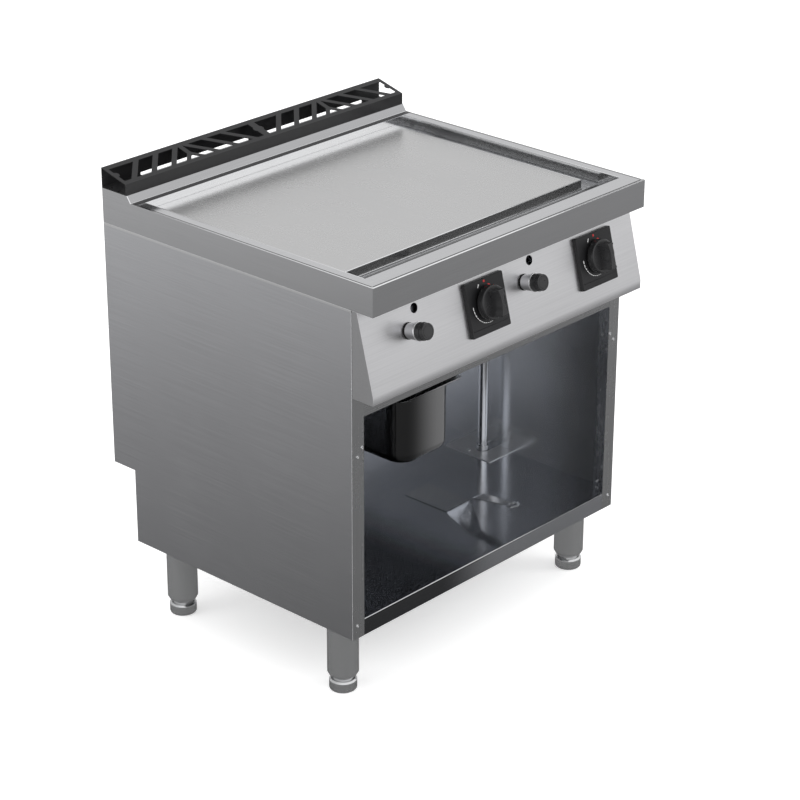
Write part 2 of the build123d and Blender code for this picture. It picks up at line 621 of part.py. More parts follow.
def make_pilots():
    """Pilot burner, thermocouple and spark electrode on a bracket behind each sight hole."""
    groups = {"pilot_brackets": [], "pilot_burners": [], "thermocouples": [], "spark_electrodes": []}
    base = BURNER_Z - 10
    y = PILOT_Y
    for side in SIDES:
        x = SIGHT_X[side]
        bracket = block(x - 24, x + 24, y - 7, y - 3, CHAMBER_Z0 + DUCT_T, base)
        groups["pilot_brackets"].append(bracket + block(x - 24, x + 24, y - 7, y + 7, base - 2, base))
        pilot = rod((x, y, base), (x, y, base + 22), 5) - rod((x, y, base + 10), (x, y, base + 23), 3)
        groups["pilot_burners"].append(pilot)
        groups["thermocouples"].append(rod((x - 16, y, base), (x - 16, y, base + 30), 2.5))
        ceramic = rod((x + 16, y, base), (x + 16, y, base + 15), 4)
        wire = rod((x + 16, y, base + 15), (x + 16, y, base + 28), 1.2)
        groups["spark_electrodes"].append(ceramic + wire)
    for name, solids in groups.items():
        keep(name, cluster(solids))


def make_chamber():
    """Burner chamber under the plate: open at the top, air slots below, flue mouth behind."""
    t = DUCT_T
    x, y0, y1, z0, z1 = CHAMBER_HALF_W, CHAMBER_Y0, CHAMBER_Y1, CHAMBER_Z0, TROUGH_Z - HOB_T
    box = block(-x, x, y0, y1, z0, z1) - block(-x + t, x - t, y0 + t, y1 - t, z0 + t, z1 + 1)
    w = FLUE_HALF_W
    box -= block(-w, w, y1 - t - 1, y1 + 1, 803, 849)
    for side, zone in ZONE_X.items():
        mix_x = zone + VENTURI_SHIFT
        box -= rod((mix_x, y0 - 3, BURNER_Z), (mix_x, y0 + 5, BURNER_Z), VENTURI_R + 1)
        box -= rod((SIGHT_X[side], y0 - 3, BURNER_Z), (SIGHT_X[side], y0 + 5, BURNER_Z), 13)
        for k in range(-2, 3):
            if k == 0:
                continue
            box -= block(zone + k * 56 - 12, zone + k * 56 + 12, 260, 560, z0 - 1, z0 + t + 1)
    keep("burner_chamber", box)


# ---------------------------------------------------------------- grease bin and its runners
def make_bin():
    body = tray_shell(
        BIN_X - BIN_W / 2 + BIN_RIM_W, BIN_X + BIN_W / 2 - BIN_RIM_W,
        BIN_Y0 + BIN_RIM_W, BIN_Y0 + BIN_L - BIN_RIM_W,
        BIN_RIM_Z - BIN_H, BIN_RIM_Z, BIN_CORNER_R, BIN_FOOT_R, BIN_T,
    )
    mid_y = BIN_Y0 + BIN_L / 2
    rim = extrude(RectangleRounded(BIN_W, BIN_L, 14), -2.2)
    mouth = RectangleRounded(BIN_W - 2 * BIN_RIM_W, BIN_L - 2 * BIN_RIM_W, BIN_CORNER_R)
    hole = extrude(mouth, 6, both=True)
    rim = Pos(BIN_X, mid_y, BIN_RIM_Z) * (rim - hole)
    keep("grease_bin", body + rim)


def make_runners():
    """Angle runners hung under the heat shield; the bin's rim slides on their inner legs."""
    t = 1.5
    y0, y1 = BODY_Y0 + 28, BIN_Y0 + BIN_L + 6
    shelf_z = BIN_RIM_Z - 2.2 - RUNNER_GAP
    for side, sign in (("left", -1), ("right", 1)):
        web_x = BIN_X + sign * (BIN_W / 2 + 1.5)
        web = block(*sorted((web_x, web_x + sign * t)), y0, y1, shelf_z - t, SHIELD_Z)
        shelf = block(*sorted((web_x, web_x - sign * (BIN_RIM_W - 2))), y0, y1, shelf_z - t, shelf_z)
        foot = block(*sorted((web_x, web_x + sign * 18)), y0, y1, SHIELD_Z - t, SHIELD_Z)
        keep(side + "_bin_runner", web + shelf + foot)


# ---------------------------------------------------------------- pipe cover, scraper
def make_pipe_cover():
    x1 = HALF_W - BODY_T - 0.2
    cover = block(COVER_X0, x1, COVER_Y0, COVER_Y1, FLOOR_Z, FLOOR_Z + COVER_T)
    cover = fillet(cover.edges().filter_by(Axis.Z).sort_by(Axis.X)[:2], 4)
    half = COVER_NOTCH_W / 2
    cover -= block(PIPE_X, x1 + 1, PIPE_Y - half, PIPE_Y + half, FLOOR_Z - 1, FLOOR_Z + COVER_T + 1)
    cover -= Pos(PIPE_X, PIPE_Y, FLOOR_Z) * Cylinder(half, 12)
    keep("pipe_cover_plate", cover)
    nut = Cylinder(COLLAR_NUT_R, 18) - Cylinder(PIPE_R, 20)
    nut = Pos(PIPE_X, PIPE_Y, FLOOR_Z + 4) * nut
    keep("pipe_collar", nut)


def make_scraper():
    """Flat blade, neck bent up with three holes, and a tapered handle with a hanging eye."""
    t = SCRAPER_T
    z0 = FLOOR_Z + 0.3
    neck_y = SCRAPER_BEND_Y - SCRAPER_NECK_RUN
    line = [(SCRAPER_REAR_Y, 0), (SCRAPER_BEND_Y, 0)]
    line += [(neck_y, SCRAPER_NECK_RISE), (SCRAPER_END_Y, SCRAPER_END_RISE)]
    ribbon = across([(y, z0 + h) for y, h in line] + [(y, z0 + h + t) for y, h in reversed(line)],
                    SCRAPER_X - SCRAPER_W, SCRAPER_X + SCRAPER_W)
    half, grip = SCRAPER_W / 2, SCRAPER_HANDLE_W / 2
    eye_y = SCRAPER_END_Y + SCRAPER_EYE_R
    plan = [(-half, SCRAPER_REAR_Y), (half, SCRAPER_REAR_Y), (half, SCRAPER_BEND_Y - 6),
            (grip + 4, neck_y - 4), (grip - 2, eye_y), (-grip + 2, eye_y), (-grip - 4, neck_y - 4),
            (-half, SCRAPER_BEND_Y - 6)]
    outline = prism([(SCRAPER_X + x, y) for x, y in plan], z0 - 5, z0 + 90)
    outline += Pos(SCRAPER_X, eye_y, z0 + 40) * Cylinder(SCRAPER_EYE_R, 100)
    scraper = ribbon & outline
    scraper -= Pos(SCRAPER_X, eye_y, z0 + 40) * Cylinder(SCRAPER_EYE_R - 5.5, 100)
    for x, y in ((-17, SCRAPER_BEND_Y - 18), (0, SCRAPER_BEND_Y - 27), (17, SCRAPER_BEND_Y - 18)):
        scraper -= Pos(SCRAPER_X + x, y, z0 + 40) * Cylinder(3.2, 100)
    keep("scraper", scraper)


# ---------------------------------------------------------------- legs and fasteners
def make_legs():
    for end, y in LEG_YS.items():
        for side, sign in (("left", -1), ("right", 1)):
            name = end + "_" + side
            outer = [(LEG_R, BODY_Z0), (LEG_R, LEG_NECK_Z), (LEG_NECK_R, LEG_FOOT_Z)]
            inner = [(LEG_NECK_R - LEG_T, LEG_FOOT_Z), (LEG_R - LEG_T, LEG_NECK_Z)]
            lid = [(LEG_R - LEG_T, BODY_Z0 - 5), (0, BODY_Z0 - 5), (0, BODY_Z0)]
            outline = Polyline(*[(r, 0, z) for r, z in outer + inner + lid], close=True)
            tube = revolve(make_face(outline), Axis.Z)
            bush = Cylinder(LEG_R - LEG_T, 12) - Cylinder(STEM_R + THREAD_CLEAR, 14)
            bush = Pos(0, 0, LEG_FOOT_Z + 16) * bush
            leg = Pos(sign * LEG_X, y, 0) * (tube + bush)
            leg -= Pos(sign * LEG_X, y, BODY_Z0) * Cylinder(4.2, 12)
            keep(name + "_leg", leg)
            cup = Pos(0, 0, FOOT_H / 2) * Cylinder(FOOT_R, FOOT_H)
            cup = fillet(cup.edges().sort_by(Axis.Z)[:1], 5)
            cup = chamfer(cup.edges().sort_by(Axis.Z)[-1:], 3.5)
            neck = Pos(0, 0, FOOT_H + 4) * Cylinder(20, 8)
            stem = Pos(0, 0, (FOOT_H + STEM_TOP) / 2) * Cylinder(STEM_R, STEM_TOP - FOOT_H)
            keep(name + "_foot", Pos(sign * LEG_X, y, 0) * (cup + neck + stem))


def make_fasteners():
    posts = []
    for sign in (-1, 1):
        for x, z in ((373.5, 557), (385.5, 541), (387.5, 180.5)):
            head = rod((sign * x, BODY_Y0 - 1.4, z), (sign * x, BODY_Y0, z), 3.3)
            head -= rod((sign * x, BODY_Y0 - 2, z), (sign * x, BODY_Y0 - 0.5, z), 1.3)
            posts.append(head)
    keep("post_rivets", cluster(posts))
    leg_bolts = []
    for y in LEG_YS.values():
        for sign in (-1, 1):
            head = Pos(sign * LEG_X, y, BODY_Z0 + 2.5 + 3) * extrude(RegularPolygon(7.5, 6), 3, both=True)
            shank = Pos(sign * LEG_X, y, BODY_Z0) * Cylinder(4.1, 16)
            leg_bolts.append(head + shank)
    keep("leg_bolts", cluster(leg_bolts))
    screw = Pos(COVER_X0 + 15, 399, FLOOR_Z + COVER_T + 1) * Cylinder(3.2, 2)
    keep("cover_screw", screw)


def build():
    make_worktop()
    make_plate()
    make_drain_chute()
    make_grille()
    make_flue_duct()
    make_side_panels()
    make_rear_panel()
    make_posts()
    make_top_rail()
    make_floor()
    make_base_frame()
    make_heat_shield()
    make_control_panel()
    for side in SIDES:
        make_bezel(side)
        make_knob(side)
        make_spindle(side)
        make_valve(side)
        make_igniter(side)
        make_burner(side)
        make_feed_pipe(side)
    make_injectors()
    make_pilots()
    make_manifold()
    make_chamber()
    make_bin()
    make_runners()
    make_pipe_cover()
    make_scraper()
    make_legs()
    make_fasteners()


build()
# The assembly's origin is the middle of the box that holds everything, at floor height.  The
# foremost point is the lower lip of the knobs' grips.
front_y = min(PARTS[side + "_knob"].bounding_box().min.Y for side in SIDES)
origin_y = round((front_y + DEPTH) / 2, 3)
os.makedirs("parts", exist_ok=True)
for name, shape in PARTS.items():
    export_step(Pos(0, -origin_y, 0) * shape, "parts/" + name + ".step")
print(len(PARTS), "nodes, origin at y =", origin_y)
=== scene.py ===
"""Looks of the gas griddle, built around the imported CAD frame."""
import math

import bmesh
import bpy
from mathutils import Matrix, Vector


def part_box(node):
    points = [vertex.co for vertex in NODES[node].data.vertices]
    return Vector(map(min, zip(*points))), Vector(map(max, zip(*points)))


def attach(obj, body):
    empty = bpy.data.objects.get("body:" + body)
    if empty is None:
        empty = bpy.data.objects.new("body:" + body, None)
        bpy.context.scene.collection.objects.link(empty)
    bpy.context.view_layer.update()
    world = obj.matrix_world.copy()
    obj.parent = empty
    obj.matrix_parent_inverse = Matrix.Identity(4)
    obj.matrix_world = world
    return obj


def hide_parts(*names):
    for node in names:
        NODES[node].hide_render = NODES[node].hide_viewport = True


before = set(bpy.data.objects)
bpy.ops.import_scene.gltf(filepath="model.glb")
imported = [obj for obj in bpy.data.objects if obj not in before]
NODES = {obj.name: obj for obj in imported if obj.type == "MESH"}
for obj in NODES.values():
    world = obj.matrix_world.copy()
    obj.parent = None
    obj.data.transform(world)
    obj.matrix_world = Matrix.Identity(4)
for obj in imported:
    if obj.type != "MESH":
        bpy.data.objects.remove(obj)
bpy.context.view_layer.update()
SIDES = ("left", "right")
ENDS = ("front", "rear")
MM = 0.001
LAYOUT = Matrix.Translation((0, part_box("worktop")[0][1], 0))     # Y counted from the front of the worktop

# Camera, in metres and degrees.  Its Y follows the front of the worktop.
CAMERA_PLACE = (-3.5766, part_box("worktop")[0][1] - 2.9709, 2.6524)
CAMERA_AZIMUTH = -47.57
CAMERA_ELEVATION = 24.39
CAMERA_ROLL = 0.198
CAMERA_LENS = 117.19

FLOOR_HALF = 12.0
FLOOR_GLOW = 0.45

# Panel frame, in millimetres: X, distance up the leaning face from its lower edge, distance in front of it
PANEL_TILT = math.atan2(40.6, 158.0)
PANEL_FOOT = Vector((0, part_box("control_panel")[0][1], 0.684))
KNOB_X = {"left": -67.5, "right": 265.5}
BEZEL_S = 81.5
BEZEL_T = 9.0
KNOB_S = 87.5
IGNITER_X = {"left": -278.0, "right": 54.5}
IGNITER_S = 92.5


# ---------------------------------------------------------------- camera, light, floor
def make_camera():
    data = bpy.data.cameras.new("camera")
    data.lens = CAMERA_LENS
    data.sensor_width = 36.0
    data.clip_start = 0.05
    data.clip_end = 60.0
    a, e, r = (math.radians(v) for v in (CAMERA_AZIMUTH, CAMERA_ELEVATION, CAMERA_ROLL))
    back = Vector((math.sin(a) * math.cos(e), -math.cos(a) * math.cos(e), math.sin(e)))
    right = Vector((0, 0, 1)).cross(back).normalized()
    up = back.cross(right)
    turned_right = right * math.cos(r) + up * math.sin(r)
    turned_up = up * math.cos(r) - right * math.sin(r)
    camera = bpy.data.objects.new("camera", data)
    rows = Matrix((turned_right, turned_up, back)).transposed().to_4x4()
    camera.matrix_world = Matrix.Translation(CAMERA_PLACE) @ rows
    bpy.context.scene.collection.objects.link(camera)
    bpy.context.scene.camera = camera


# Brightness of the studio by the height of the direction looked in: behind, and in front
BEHIND = [(-1.0, 0.09), (-0.5, 0.10), (-0.465, 0.155), (-0.42, 0.215), (-0.405, 0.235), (-0.37, 0.3625),
          (-0.33, 0.45), (-0.25, 0.51), (0.2, 0.57), (1.0, 0.65)]
BEFORE = [(-1.0, 0.12), (-0.5, 0.135), (-0.44, 0.178), (-0.38, 0.203), (-0.3, 0.246), (-0.2, 0.36),
          (-0.1, 0.54), (-0.04, 0.62), (0.12, 0.88), (0.3, 0.97), (1.0, 0.97)]


def height_ramp(tree, height, stops):
    ramp = tree.nodes.new("ShaderNodeValToRGB")
    while len(ramp.color_ramp.elements) < len(stops):
        ramp.color_ramp.elements.new(0.5)
    for element, (place, value) in zip(ramp.color_ramp.elements, stops):
        element.position = (place + 1) / 2
        element.color = (value, value, min(1.0, value * 1.01), 1)
    tree.links.new(height, ramp.inputs["Fac"])
    return ramp.outputs["Color"]


def make_world():
    """White behind the object; a studio of dark floor, grey horizon and bright ceiling in the steel."""
    world = bpy.data.worlds.new("studio")
    bpy.context.scene.world = world
    world.use_nodes = True
    tree = world.node_tree
    tree.nodes.clear()
    coords = tree.nodes.new("ShaderNodeTexCoord")
    split = tree.nodes.new("ShaderNodeSeparateXYZ")
    tree.links.new(coords.outputs["Generated"], split.inputs[0])
    height = tree.nodes.new("ShaderNodeMapRange")
    height.inputs["From Min"].default_value = -1.0
    tree.links.new(split.outputs["Z"], height.inputs["Value"])
    behind = height_ramp(tree, height.outputs["Result"], BEHIND)
    before = height_ramp(tree, height.outputs["Result"], BEFORE)
    turn = tree.nodes.new("ShaderNodeMapRange")
    turn.inputs["From Min"].default_value = -0.35
    turn.inputs["From Max"].default_value = 0.35
    tree.links.new(split.outputs["Y"], turn.inputs["Value"])
    both = tree.nodes.new("ShaderNodeMix")
    both.data_type = "RGBA"
    tree.links.new(turn.outputs["Result"], both.inputs["Factor"])
    tree.links.new(before, both.inputs[6])
    tree.links.new(behind, both.inputs[7])
    studio = tree.nodes.new("ShaderNodeBackground")
    tree.links.new(both.outputs[2], studio.inputs["Color"])
    plain = tree.nodes.new("ShaderNodeBackground")
    plain.inputs["Color"].default_value = (1, 1, 1, 1)
    path = tree.nodes.new("ShaderNodeLightPath")
    mix = tree.nodes.new("ShaderNodeMixShader")
    tree.links.new(path.outputs["Is Glossy Ray"], mix.inputs["Fac"])
    tree.links.new(plain.outputs[0], mix.inputs[1])
    tree.links.new(studio.outputs[0], mix.inputs[2])
    out = tree.nodes.new("ShaderNodeOutputWorld")
    tree.links.new(mix.outputs[0], out.inputs["Surface"])


def area_light(name, place, target, size, power):
    """Soft box that lights the object and isn't mirrored in the steel."""
    data = bpy.data.lights.new(name, "AREA")
    data.shape = "RECTANGLE"
    data.size, data.size_y = size
    data.energy = power
    light = bpy.data.objects.new(name, data)
    light.location = place
    light.rotation_euler = (Vector(target) - Vector(place)).to_track_quat("-Z", "Y").to_euler()
    light.visible_glossy = False
    light.visible_camera = False
    bpy.context.scene.collection.objects.link(light)


def make_lights():
    area_light("key", (2.6, -2.8, 2.6), (0, 0, 0.5), (1.6, 1.2), 30)
    area_light("left_fill", (-3.2, 1.6, 2.4), (0, 0, 0.6), (1.8, 1.4), 20)


def make_floor():
    mesh = bpy.data.meshes.new("studio_floor")
    corners = [(x * FLOOR_HALF, y * FLOOR_HALF, 0) for x, y in ((-1, -1), (1, -1), (1, 1), (-1, 1))]
    mesh.from_pydata(corners, [], [(0, 1, 2, 3)])
    floor = bpy.data.objects.new("studio_floor", mesh)
    bpy.context.scene.collection.objects.link(floor)
    material = bpy.data.materials.new("pale_floor")
    material.use_nodes = True
    shader = material.node_tree.nodes["Principled BSDF"]
    shader.inputs["Base Color"].default_value = (0.93, 0.93, 0.93, 1)
    shader.inputs["Roughness"].default_value = 0.9
    shader.inputs["Specular IOR Level"].default_value = 0.0
    shader.inputs["Emission Color"].default_value = (1, 1, 1, 1)
    shader.inputs["Emission Strength"].default_value = FLOOR_GLOW
    mesh.materials.append(material)
    floor.visible_glossy = False


# ---------------------------------------------------------------- materials
class Shader:
    """A Principled material with a few helpers for its node tree."""

    def __init__(self, name, color, roughness, metallic=0.0):
        self.material = bpy.data.materials.new(name)
        self.material.use_nodes = True
        self.tree = self.material.node_tree
        self.bsdf = self.tree.nodes["Principled BSDF"]
        self.color, self.roughness = color, roughness
        self.bsdf.inputs["Base Color"].default_value = (*color, 1)
        self.bsdf.inputs["Roughness"].default_value = roughness
        self.bsdf.inputs["Metallic"].default_value = metallic
        self.coords = self.tree.nodes.new("ShaderNodeTexCoord")

    def add(self, kind, **inputs):
        node = self.tree.nodes.new("ShaderNode" + kind)
        for key, value in inputs.items():
            node.inputs[key.replace("_", " ")].default_value = value
        return node

    def link(self, out, into):
        self.tree.links.new(out, into)

    def noise(self, scale, stretch=(1, 1, 1), detail=3.0, roughness=0.55):
        mapping = self.add("Mapping")
        mapping.inputs["Scale"].default_value = stretch
        self.link(self.coords.outputs["Object"], mapping.inputs["Vector"])
        noise = self.add("TexNoise", Scale=scale, Detail=detail, Roughness=roughness)
        self.link(mapping.outputs[0], noise.inputs["Vector"])
        return noise.outputs["Fac"]

    def span(self, value, low, high, to_low, to_high):
        node = self.add("MapRange")
        for key, number in zip(("From Min", "From Max", "To Min", "To Max"), (low, high, to_low, to_high)):
            node.inputs[key].default_value = number
        self.link(value, node.inputs["Value"])
        return node.outputs["Result"]

    def maths(self, operation, a, b):
        node = self.add("Math")
        node.operation = operation
        for socket, value in zip(node.inputs, (a, b)):
            if isinstance(value, (int, float)):
                socket.default_value = value
            else:
                self.link(value, socket)
        return node.outputs[0]

    def tint(self, factor):
        """Base colour times a factor."""
        node = self.add("VectorMath")
        node.operation = "SCALE"
        node.inputs[0].default_value = self.color
        self.link(factor, node.inputs["Scale"])
        self.link(node.outputs[0], self.bsdf.inputs["Base Color"])

    def bump(self, height, strength, distance):
        node = self.add("Bump", Strength=strength, Distance=distance)
        self.link(height, node.inputs["Height"])
        self.link(node.outputs["Normal"], self.bsdf.inputs["Normal"])


# Noise scale across and along the streaks of brushed steel
GRAIN = {"x": (4, 420, 420), "y": (420, 4, 420), "z": (420, 420, 4)}
BUMP_DEPTH = 0.0002


def grain_noise(s, grain):
    """Streaks along one axis; on "sheet" along X, and along Y where the face looks sideways."""
    if grain != "sheet":
        return s.noise(1.0, GRAIN[grain], detail=4.0, roughness=0.7)
    along_x = s.noise(1.0, GRAIN["x"], detail=4.0, roughness=0.7)
    along_y = s.noise(1.0, GRAIN["y"], detail=4.0, roughness=0.7)
    split = s.add("SeparateXYZ")
    s.link(s.coords.outputs["Normal"], split.inputs[0])
    sideways = s.maths("GREATER_THAN", s.maths("ABSOLUTE", split.outputs["X"], 0.0), 0.7)
    kept = s.maths("MULTIPLY", along_x, s.maths("SUBTRACT", 1.0, sideways))
    return s.maths("ADD", kept, s.maths("MULTIPLY", along_y, sideways))


def brushed(name, color, roughness, grain="x", contrast=0.10, cloud=0.03, bump=0.01, metallic=1.0,
            sideways=1.0):
    """Brushed sheet: fine streaks along one axis, broad cloudy patches and faint handling marks.

    sideways is a painted shade: the tone of the faces that look along X, next to the others.
    """
    s = Shader(name, color, roughness, metallic)
    fine = grain_noise(s, grain)
    broad = s.noise(5.0, detail=2.0)
    wipe = s.noise(14.0, detail=5.0, roughness=0.7)
    streaks = s.span(fine, 0.3, 0.7, 1 - contrast, 1 + contrast)
    tone = s.maths("ADD", streaks, s.span(broad, 0.3, 0.7, -cloud, cloud))
    # painted shade: the faces that look along X are darkened by sideways
    if sideways != 1.0:
        split = s.add("SeparateXYZ")
        s.link(s.coords.outputs["Normal"], split.inputs[0])
        turned = s.maths("ABSOLUTE", split.outputs["X"], 0.0)
        tone = s.maths("MULTIPLY", tone, s.span(turned, 0.6, 0.9, 1.0, sideways))
    s.tint(tone)
    rough = s.maths("ADD", s.span(fine, 0.3, 0.7, roughness * 0.94, roughness * 1.06),
                    s.span(wipe, 0.45, 0.75, 0.0, 0.03))
    s.link(rough, s.bsdf.inputs["Roughness"])
    s.bump(fine, bump, BUMP_DEPTH)
    return s.material


def object_axis(tree, axis):
    coords = tree.nodes.new("ShaderNodeTexCoord")
    split = tree.nodes.new("ShaderNodeSeparateXYZ")
    tree.links.new(coords.outputs["Object"], split.inputs[0])
    return split.outputs[axis]


def smooth_step(tree, value, start, end, low, high):
    span = tree.nodes.new("ShaderNodeMapRange")
    span.interpolation_type = "SMOOTHSTEP"
    for key, number in zip(("From Min", "From Max", "To Min", "To Max"), (start, end, low, high)):
        span.inputs[key].default_value = number
    tree.links.new(value, span.inputs["Value"])
    return span.outputs["Result"]


def scale_color(material, tone):
    """Multiply the colour that a finish already has by a tone from its node tree."""
    tree = material.node_tree
    bsdf = tree.nodes["Principled BSDF"]
    source = bsdf.inputs["Base Color"].links[0].from_socket
    scale = tree.nodes.new("ShaderNodeVectorMath")
    scale.operation = "SCALE"
    tree.links.new(source, scale.inputs[0])
    tree.links.new(tone, scale.inputs["Scale"])
    tree.links.new(scale.outputs[0], bsdf.inputs["Base Color"])


def shaded_along(material, axis, start, end, low, high):
    """Darken a finish towards one end of an axis, in metres: painted shade and reflection."""
    tree = material.node_tree
    scale_color(material, smooth_step(tree, object_axis(tree, axis), start, end, low, high))


BAND_BORDER = 0.0002           # half the width of the soft border of a toned box


def box_mask(tree, low, high):
    """One inside a box of the layout frame, in millimetres, and nought outside it."""
    inside = None
    for axis, a, b, shift in zip("XYZ", low, high, LAYOUT.translation):
        value = object_axis(tree, axis)
        for edge, first, last in ((a, 0.0, 1.0), (b, 1.0, 0.0)):
            place = edge * MM + shift
            step = smooth_step(tree, value, place - BAND_BORDER, place + BAND_BORDER, first, last)
            if inside is None:
                inside = step
                continue
            both = tree.nodes.new("ShaderNodeMath")
            both.operation = "MULTIPLY"
            tree.links.new(inside, both.inputs[0])
            tree.links.new(step, both.inputs[1])
            inside = both.outputs[0]
    return inside


def toned_box(material, low, high, factor, flat_highlight=False):
    """Scale a finish inside a box, which paints shade, reflection and highlight there; a box with its
    highlight flag set also loses its mirror, so its painted highlight shows as a flat light band.
    """
    tree = material.node_tree
    inside = box_mask(tree, low, high)
    scale_color(material, smooth_step(tree, inside, 0.0, 1.0, 1.0, factor))
    if flat_highlight:
        metallic = tree.nodes["Principled BSDF"].inputs["Metallic"]
        tree.links.new(smooth_step(tree, inside, 0.0, 1.0, metallic.default_value, 0.0), metallic)


def coated(name, color, roughness, texture=0.15, specular=0.5):
    """Moulded plastic or enamel: fine orange peel, slight wear in the gloss."""
    s = Shader(name, color, roughness)
    s.bsdf.inputs["Specular IOR Level"].default_value = specular
    peel = s.noise(900.0, detail=2.0)
    patch = s.noise(22.0, detail=4.0)
    s.tint(s.span(patch, 0.3, 0.7, 0.85, 1.2))
    s.link(s.span(patch, 0.3, 0.7, roughness * 0.85, roughness * 1.2), s.bsdf.inputs["Roughness"])
    s.bump(peel, texture, BUMP_DEPTH)
    return s.material


def make_materials():
    return {
        "worktop": brushed("worktop_steel", (0.87, 0.875, 0.885), 0.13, "sheet", 0.035, 0.01, 0.003,
                           sideways=0.84),
        "plate": brushed("plate_steel", (0.84, 0.84, 0.835), 0.26, "y", 0.012, 0.01, 0.001),
        "side": brushed("side_steel", (0.86, 0.865, 0.885), 0.16, "y", 0.05, 0.01, 0.006),
        "front": brushed("front_steel", (0.66, 0.665, 0.67), 0.26, "sheet", 0.05),
        "post": brushed("post_steel", (0.69, 0.695, 0.70), 0.26, "z", 0.04),
        "panel": brushed("panel_steel", (0.86, 0.86, 0.87), 0.36, "x", 0.045, 0.01, 0.006, sideways=0.78),
        "inner": brushed("inner_steel", (0.62, 0.63, 0.65), 0.30, "z", 0.05, metallic=0.7),
        # cabinet, wall and flank carry a bluish tint that paints the bluish reflection inside the cabinet;
        # flank, the right side panel seen from inside, is a lighter copy of the side steel: painted light
        "cabinet": brushed("cabinet_steel", (0.74, 0.755, 0.79), 0.15, "x", 0.04, 0.04, 0.003,
                           metallic=0.995),
        "wall": brushed("wall_steel", (0.80, 0.82, 0.86), 0.24, "x", 0.03, 0.02, 0.002, metallic=0.76),
        "flank": brushed("flank_steel", (0.94, 0.96, 0.99), 0.22, "y", 0.03, 0.02, 0.002, metallic=0.93),
        "leg": brushed("leg_steel", (0.64, 0.645, 0.65), 0.22, "z", 0.06, metallic=0.88),
        "foot": brushed("foot_steel", (0.70, 0.705, 0.71), 0.16, "z", 0.04, metallic=0.92),
        "bin": brushed("bin_steel", (0.72, 0.72, 0.725), 0.13, "z", 0.03, 0.02, 0.003),
        "scraper": brushed("scraper_steel", (0.80, 0.81, 0.82), 0.16, "y", 0.04),
        "pipe": brushed("pipe_steel", (0.64, 0.65, 0.67), 0.18, "z", 0.05),
        # a lighter copy of the steel: it paints highlight lines on the edge bars, the bin's rim, the rings
        # round the shelf holes and the igniter collar's front ring; the rivets, bolts and cover screw take it
        # as their own colour
        "bright": brushed("bright_steel", (0.96, 0.965, 0.97), 0.2, "x", 0.02, 0.01, 0.004),
        "chrome": brushed("collar_chrome", (0.42, 0.42, 0.43), 0.12, "x", 0.02, 0.02, 0.002),
        "enamel": coated("black_enamel", (0.018, 0.018, 0.019), 0.36, 0.12, 0.4),
        "bezel": coated("bezel_plastic", (0.014, 0.014, 0.015), 0.36, 0.05, 0.35),
        "knob": coated("knob_plastic", (0.020, 0.020, 0.021), 0.27, 0.06, 0.5),
        "button": coated("button_plastic", (0.022, 0.022, 0.023), 0.30, 0.06, 0.5),
        # this black rubber also makes the bar under the apron, a painted shadow line
        "rubber_and_shade": coated("seal_rubber_and_shade", (0.008, 0.008, 0.008), 0.6, 0.2, 0.2),
        "brass": brushed("brass", (0.6, 0.45, 0.2), 0.3, "z", 0.08),
        "copper": brushed("copper", (0.62, 0.34, 0.2), 0.28, "z", 0.08),
        "ceramic": coated("ceramic", (0.8, 0.78, 0.73), 0.3, 0.1),
        "red": coated("red_print", (0.55, 0.02, 0.02), 0.45, 0.03),
        "white": coated("white_print", (0.72, 0.72, 0.72), 0.45, 0.03),
    }


MATERIALS = make_materials()


def tone_finishes():
    """Painted shade, reflection and highlight: tones that change across one finish, and narrow bands where
    sheets meet flush.
    """
    # painted reflection and shade: the bin darker to its left, the cabinet floor darker to its left, the
    # right side panel darker towards the front
    shaded_along(MATERIALS["bin"], "X", -0.225, -0.125, 0.12, 1.1)
    shaded_along(MATERIALS["cabinet"], "X", -0.150, 0.030, 0.20, 1.0)
    shaded_along(MATERIALS["flank"], "Y", -0.238, -0.078, 0.42, 1.0)
    top, plate, side = (MATERIALS[key] for key in ("worktop", "plate", "side"))
    # painted shade and reflection: the sloping upstand, the joint at its foot and the trough floor are
    # darkened
    toned_box(top, (-398, 646.6, 900.4), (398, 659, 932.8), 0.50)
    toned_box(top, (-398, 633.2, 899.4), (398, 646.6, 900.6), 0.10)
    toned_box(top, (-374, 44.6, 861), (374, 118.2, 863), 0.20)
    # painted shade: dark line behind the rolled edge of the rim, at the front and at both sides
    toned_box(top, (-394, 4.4, 899.4), (394, 7.6, 900.6), 0.15)
    for a, b in ((-396.2, -393.6), (393.6, 396.2)):
        toned_box(top, (a, 7.6, 899.4), (b, 646, 900.6), 0.15)
    # painted shade on the front face of the plate
    toned_box(plate, (-347, 119, 860), (347, 120.6, 883.0), 0.45)
    # painted highlight lines along the upper edge and the front edge of the left side panel, without mirror
    toned_box(side, (-401, 52, 837.4), (-399, 731, 842.4), 1.16, flat_highlight=True)
    toned_box(side, (-401, 53.6, 152), (-399, 54.6, 837.4), 0.6, flat_highlight=True)


tone_finishes()


# ---------------------------------------------------------------- CAD nodes that keep their shape
EDGE_ROUND = 0.0006
EDGE_ANGLE = math.radians(35)
FOLD_ANGLE = math.radians(8)
FOLDED = ("control_panel", "worktop", "flue_grille", "scraper", "rear_panel")


def dress(node, material):
    """Give a CAD node its finish, and rounded sheet edges."""
    piece = NODES[node]
    piece.data.materials.clear()
    piece.data.materials.append(MATERIALS[material])
    weld = piece.modifiers.new("weld", "WELD")
    weld.merge_threshold = 0.00001
    flat = piece.modifiers.new("flat", "DECIMATE")
    flat.decimate_type = "DISSOLVE"
    flat.angle_limit = math.radians(0.5)
    round_edges(piece, EDGE_ROUND, 2)
    smooth_by_angle(piece)


